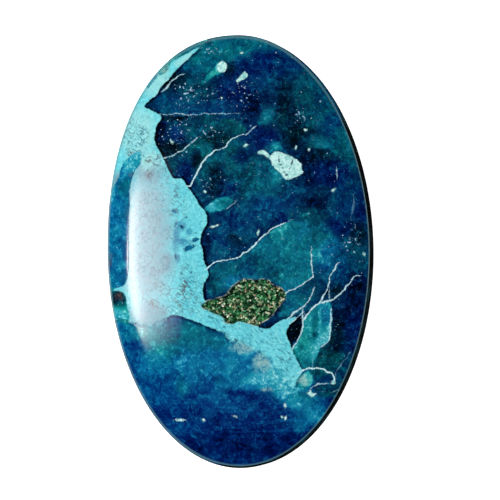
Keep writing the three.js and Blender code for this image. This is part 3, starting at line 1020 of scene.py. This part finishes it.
def makeStone():
    points, faces, slots = stoneShape()
    sunk, pocketDepth = sinkPocket(points)
    mesh = bpy.data.meshes.new("shattuckiteStone")
    mesh.from_pydata((sunk * mm).tolist(), [], faces)
    mesh.polygons.foreach_set("use_smooth", [True] * len(faces))
    mesh.polygons.foreach_set("material_index", slots)
    mesh.set_sharp_from_angle(angle=math.radians(35))
    fields = stoneFields(points, pocketDepth)
    fields.update(veinFields(toPicture(points) + drift(points, *veins["wander"])))
    for name, values in fields.items():
        mesh.attributes.new(name, "FLOAT", "POINT").data.foreach_set("value", values.astype(np.float32))
    mesh.update()
    item = addObject("shattuckiteStone", mesh, [polishedStone(), groundStone()])
    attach(item, "root")
    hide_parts("cabochon")
    print("stone made,", len(faces), "faces")


makeStone()

# Malachite crystals: small leaning prisms with pointed ends, grown side by side over the pocket's floor

druse = {
    "spacing": 0.22,         # mm between neighbours
    "radius": (0.08, 0.16),
    "height": (0.3, 0.6),
    "lean": 50,              # degrees at most
    "sides": 6,
    "depth": (0.3, 0.75),    # mm below the dome at the rim and in the middle
    "crust": 0.3,            # mm of crust under the crystals
    "margin": 0.1,           # mm that the crystals' feet keep from the pocket's side
    "rowStep": 0.87,         # of the spacing, between rows
    "jitter": 0.3,           # of the spacing, at most
    "fullDepth": 1.2,        # mm from the pocket's side to where it is deepest
    "uneven": (0.1, 0.35),   # mm that single feet stand lower
    "clear": 0.25,           # mm that the feet stay above the floor, and that they reach down into the crust
    "shaft": 0.72,           # share of a crystal below its point
    "taper": 0.92,           # width at the shaft's top
    "tintSpread": (0.9, 1.1),  # of the beta distribution that the tints are drawn from
    # the crust between the crystals' feet is near black: painted shade
    "crustShadeTint": 0.1,
    "crustInset": 0.015,     # share that the crust is drawn in
    "seed": 11,
    # greens of malachite, the darkest stops painted shade and the palest painted glints
    "greensShadeAndGlints": [(0.0, "#06180f"), (0.2, "#0f3a20"), (0.4, "#20663a"), (0.55, "#378f55"), (0.68, "#64b27e"),
               (0.78, "#a6cfa8"), (0.85, "#a08d60"), (0.92, "#e2e6ba"), (1.0, "#fafbee")],
    "ior": 1.8,
    "roughness": 0.22,
    "grain": 0.08,           # mm, growth marks on the faces
}


def glassyMalachite():
    # grown crystals with bright natural faces, dark to pale green at random; the near-black tints are
    # painted shade and the near-white ones painted glints
    material, tree = newMaterial("malachiteCrystal")
    place = addNode(tree, "TexCoord")["Object"]
    inMm = addNode(tree, "VectorMath", {0: place, "Scale": 1 / mm}, operation="SCALE")[0]
    marks = addNode(tree, "TexNoise", {"Vector": inMm, "Scale": 1 / druse["grain"], "Detail": 2.0})[0]
    tint = addNode(tree, "Attribute", attribute_name="crystalTint")["Fac"]
    centred = addNode(tree, "Math", {0: marks, 1: -0.5}, operation="ADD")[0]
    shade = addUp(tree, tint, [(centred, 0.3)])
    colour = addNode(tree, "ValToRGB", {"Fac": shade}, druse["greensShadeAndGlints"])[0]
    rough = addUp(tree, druse["roughness"], [(centred, 0.2)])
    bump = addNode(tree, "Bump", {"Strength": 0.2, "Distance": 0.02 * mm, "Height": marks})[0]
    shader = addNode(tree, "BsdfPrincipled", {
        "Base Color": colour, "Roughness": rough, "IOR": druse["ior"], "Normal": bump})
    addNode(tree, "OutputMaterial", {"Surface": shader[0]})
    return material


def domeAt(x, y):
    return domeHeight(np.hypot(x / (stoneWidth / 2), y / (stoneLength / 2)))


def crystalShape(foot, radius, height, lean, turn):
    # a prism on its foot, sunk a little, with a pointed end
    angles = turn + np.arange(druse["sides"]) * 2 * np.pi / druse["sides"]
    ring = np.stack([np.cos(angles) * radius, np.sin(angles) * radius], axis=1)
    low = np.column_stack([ring, np.full(len(ring), -druse["clear"])])
    high = np.column_stack([ring * druse["taper"], np.full(len(ring), height * druse["shaft"])])
    shape = np.vstack([low, high, [[0, 0, height]]])
    tilt = Matrix.Rotation(lean[0], 3, "X") @ Matrix.Rotation(lean[1], 3, "Y")
    return shape @ np.array(tilt).T + foot


def crystalFaces(first):
    sides = druse["sides"]
    around = [(k, (k + 1) % sides) for k in range(sides)]
    walls = [(first + a, first + b, first + sides + b, first + sides + a) for a, b in around]
    point = [(first + sides + a, first + sides + b, first + 2 * sides) for a, b in around]
    foot = [tuple(first + k for k in reversed(range(sides)))]
    return walls + point + foot


def growCrystals():
    # corners, faces and tints of crystals on a staggered grid
    rng = np.random.default_rng(druse["seed"])
    outline = np.array(stone["pocket"])
    step = druse["spacing"]
    (left, low), (right, high) = outline.min(axis=0), outline.max(axis=0)
    gridX, gridY = np.meshgrid(np.arange(left, right, step), np.arange(low, high, step * druse["rowStep"]))
    gridX[1::2] += step / 2
    feet = np.stack([gridX.ravel(), gridY.ravel()], axis=1)
    feet += rng.uniform(-druse["jitter"], druse["jitter"], feet.shape) * step
    inside = insideDistance(feet, stone["pocket"])
    kept = inside > druse["margin"]
    shallow, deep = druse["depth"]
    points, faces, tints = [], [], []
    for (x, y), depth in zip(feet[kept], inside[kept]):
        sunk = shallow + (deep - shallow) * min(depth / druse["fullDepth"], 1)
        foot = domeAt(x, y) - sunk - rng.uniform(*druse["uneven"])
        foot = max(foot, stone["pocketFloor"] + druse["clear"])
        lean = np.radians(rng.uniform(-druse["lean"], druse["lean"], 2))
        radius = rng.uniform(*druse["radius"])
        height = rng.uniform(*druse["height"])
        shape = crystalShape((x, y, foot), radius, height, lean, rng.uniform(0, np.pi))
        faces += crystalFaces(len(points) * len(shape))
        points.append(shape)
        tints += [rng.beta(*druse["tintSpread"])] * len(shape)
    print("crystals grown,", len(points))
    return np.vstack(points), faces, tints


def crustShape(base):
    # the slab that the crystals stand on fills the pocket's floor
    ring = smoothLine(stone["pocket"], True)
    inset = druse["crustInset"]
    ring = ring * (1 - inset) + ring.mean(axis=0) * inset
    count = len(ring)
    floor = stone["pocketFloor"]
    points = np.vstack([np.column_stack([ring, np.full(count, z)]) for z in (floor, floor + druse["crust"])])
    lower = range(base, base + count)
    upper = range(base + count, base + 2 * count)
    faces = [tuple(lower), tuple(reversed(upper))]
    for k in range(count):
        after = (k + 1) % count
        faces.append((lower[k], upper[k], upper[after], lower[after]))
    return points, faces


def makeDruse():
    points, faces, tints = growCrystals()
    crustPoints, crustFaces = crustShape(len(points))
    points = np.vstack([points, crustPoints])
    faces += crustFaces
    tints += [druse["crustShadeTint"]] * len(crustPoints)
    points[:, 2] = np.clip(points[:, 2], stone["pocketFloor"], stoneHeight)
    mesh = bpy.data.meshes.new("malachiteCrystals")
    mesh.from_pydata((points * mm).tolist(), [], faces)
    tintValues = mesh.attributes.new("crystalTint", "FLOAT", "POINT").data
    tintValues.foreach_set("value", np.array(tints, np.float32))
    mesh.update()
    item = addObject("malachiteCrystals", mesh, [glassyMalachite()])
    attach(item, "root")
    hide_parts("malachite_druse")
    print("druse made,", len(faces), "faces")


makeDruse()

# Studio: a white table lit from within, one graded softbox on the left, an even fill and a pale horizon

studio = {
    "table": 3.0,           # m across
    "tableWhite": "#f4f4f4",
    "tableGlow": 0.85,
    "haze": 125,            # mm across the unevenness of the table's finish
    "softbox": {"polar": 43, "aside": 1.5, "distance": 400, "size": (212, 270), "turn": 8, "radiance": 15.0},
    "bow": (0.76, -0.9),    # how far the panel's lower and upper edges draw in towards its ends
    "bowMiddle": 0.45,      # where along the panel they don't
    "cloth": [  # downwards
        (0.0, "#000000"), (0.1, "#545454"), (0.3, "#858585"), (0.55, "#a0a0a0"), (0.8, "#b2b2b2")],
    "clothEnds": [
        (0.0, "#000000"), (0.05, "#909090"), (0.15, "#d8d8d8"), (0.3, "#ffffff"), (0.8, "#ffffff"),
        (1.0, "#202020")],
    "tube": [(0.72, "#000000"), (0.88, "#bcb0a4")],  # the lamp shines through along the lower edge
    "tubeEnds": [
        (0.08, "#000000"), (0.3, "#ffffff"), (0.72, "#ffffff"), (0.84, "#c4c4c4"), (0.95, "#303030")],
    "fill": {"height": 600, "size": 900, "radiance": 1.38},
    "strip": 2.0,           # radiance of a pale strip low on the walls, on all sides but the left
    "stripRise": [  # over the sine of its height
        (0.06, "#000000"), (0.1, "#ffffff"), (0.2, "#ffffff"), (0.26, "#000000")],
    "stripSide": (-0.6, -0.2),  # where it begins, across the room
}


def whiteAcrylic():
    # a sheet of opal acrylic over lamps: matt, even and shadowless
    material, tree = newMaterial("opalAcrylic")
    place = addNode(tree, "TexCoord")["Object"]
    haze = addNode(tree, "TexNoise", {"Vector": place, "Scale": 1 / (studio["haze"] * mm), "Detail": 2.0})[0]
    rough = addNode(tree, "MapRange", {"Value": haze, "To Min": 0.55, "To Max": 0.7})[0]
    shader = addNode(tree, "BsdfPrincipled", {
        "Base Color": hexToLinear(studio["tableWhite"]), "Roughness": rough, "Specular IOR Level": 0.1,
        "Emission Color": (1, 1, 1, 1), "Emission Strength": studio["tableGlow"]})
    addNode(tree, "OutputMaterial", {"Surface": shader[0]})
    return material


def makeTable():
    half = studio["table"] / 2
    under = -0.02 * mm  # just clear of the stone's back
    mesh = bpy.data.meshes.new("table")
    corners = [(-half, -half, under), (half, -half, under), (half, half, under), (-half, half, under)]
    mesh.from_pydata(corners, [], [(0, 1, 2, 3)])
    addObject("table", mesh, [whiteAcrylic()])


def addLight(name, place, facing, alongY, size, radiance):
    # a flat panel at a place in mm, facing a point of the stone
    light = bpy.data.lights.new(name, "AREA")
    light.shape = "RECTANGLE"
    light.size, light.size_y = size[0] * mm, size[1] * mm
    light.energy = radiance * 4 * light.size * light.size_y
    item = bpy.data.objects.new(name, light)
    bpy.context.scene.collection.objects.link(item)
    back = (Vector(place) - Vector(facing)).normalized()
    side = (Vector(alongY) - back * back.dot(Vector(alongY))).normalized()
    turned = Matrix((side, back.cross(side), back)).transposed().to_4x4()
    item.matrix_world = Matrix.Translation(Vector(place) * mm) @ turned
    return item


def gradeSoftbox(tree):
    # cloth that is brighter downwards, and the tube that shines through it, within the panel's bowed edges
    tree.nodes.clear()
    panel = addNode(tree, "NewGeometry")["Parametric"]
    along, downward, _ = addNode(tree, "SeparateXYZ", {0: panel})
    offMiddle = addNode(tree, "Math", {0: along, 1: studio["bowMiddle"]}, operation="SUBTRACT")[0]
    square = addNode(tree, "Math", {0: offMiddle, 1: offMiddle}, operation="MULTIPLY")[0]
    lower, upper = (addUp(tree, downward, [(square, bow)]) for bow in studio["bow"])
    within = addNode(tree, "MapRange", {"Value": lower, **span((1.0, 0.97))})[0]
    parts = []
    for name, fromEdge in (("cloth", upper), ("tube", lower)):
        fade = addNode(tree, "ValToRGB", {"Fac": fromEdge}, studio[name])[0]
        ends = addNode(tree, "ValToRGB", {"Fac": along}, studio[name + "Ends"])[0]
        part = addNode(tree, "Mix", {0: 1.0, 6: fade, 7: ends}, data_type="RGBA", blend_type="MULTIPLY")[2]
        parts.append(layOver(tree, (0, 0, 0, 1), [(within, part)]))
    both = addNode(tree, "Mix", {0: 1.0, 6: parts[0], 7: parts[1]}, data_type="RGBA", blend_type="ADD")[2]
    glow = addNode(tree, "Emission", {"Color": both, "Strength": 1.0})[0]
    addNode(tree, "OutputLight", {"Surface": glow})


def paleHorizon(tree):
    tree.nodes.clear()
    direction = addNode(tree, "TexCoord")["Generated"]
    across, _, upward = addNode(tree, "SeparateXYZ", {0: direction})
    band = addNode(tree, "ValToRGB", {"Fac": upward}, studio["stripRise"])[0]
    strength = addNode(tree, "MapRange", {
        "Value": across, **span(studio["stripSide"]), "To Max": studio["strip"]})[0]
    sky = addNode(tree, "Background", {"Color": band, "Strength": strength})[0]
    addNode(tree, "OutputWorld", {"Surface": sky})


def lightStudio():
    box = studio["softbox"]
    polar, turn = math.radians(box["polar"]), math.radians(box["turn"])
    place = (-math.sin(polar) * box["distance"], box["aside"], math.cos(polar) * box["distance"])
    alongY = (-math.sin(turn) * math.cos(polar), math.cos(turn), -math.sin(turn) * math.sin(polar))
    softbox = addLight("softbox", place, (0, box["aside"], 0), alongY, box["size"], box["radiance"])
    softbox.data.use_nodes = True
    gradeSoftbox(softbox.data.node_tree)
    fill = studio["fill"]
    size = (fill["size"], fill["size"])
    above = addLight("fill", (0, 0, fill["height"]), (0, 0, 0), (0, 1, 0), size, fill["radiance"])
    above.visible_glossy = False  # as through crossed polarisers: it lights the stone without a reflection
    world = bpy.data.worlds.new("studioWalls")
    bpy.context.scene.world = world
    world.use_nodes = True
    paleHorizon(world.node_tree)
    settings = bpy.context.scene.view_settings
    settings.view_transform = "Standard"
    settings.look = "None"


makeTable()
lightStudio()
print("studio lit")
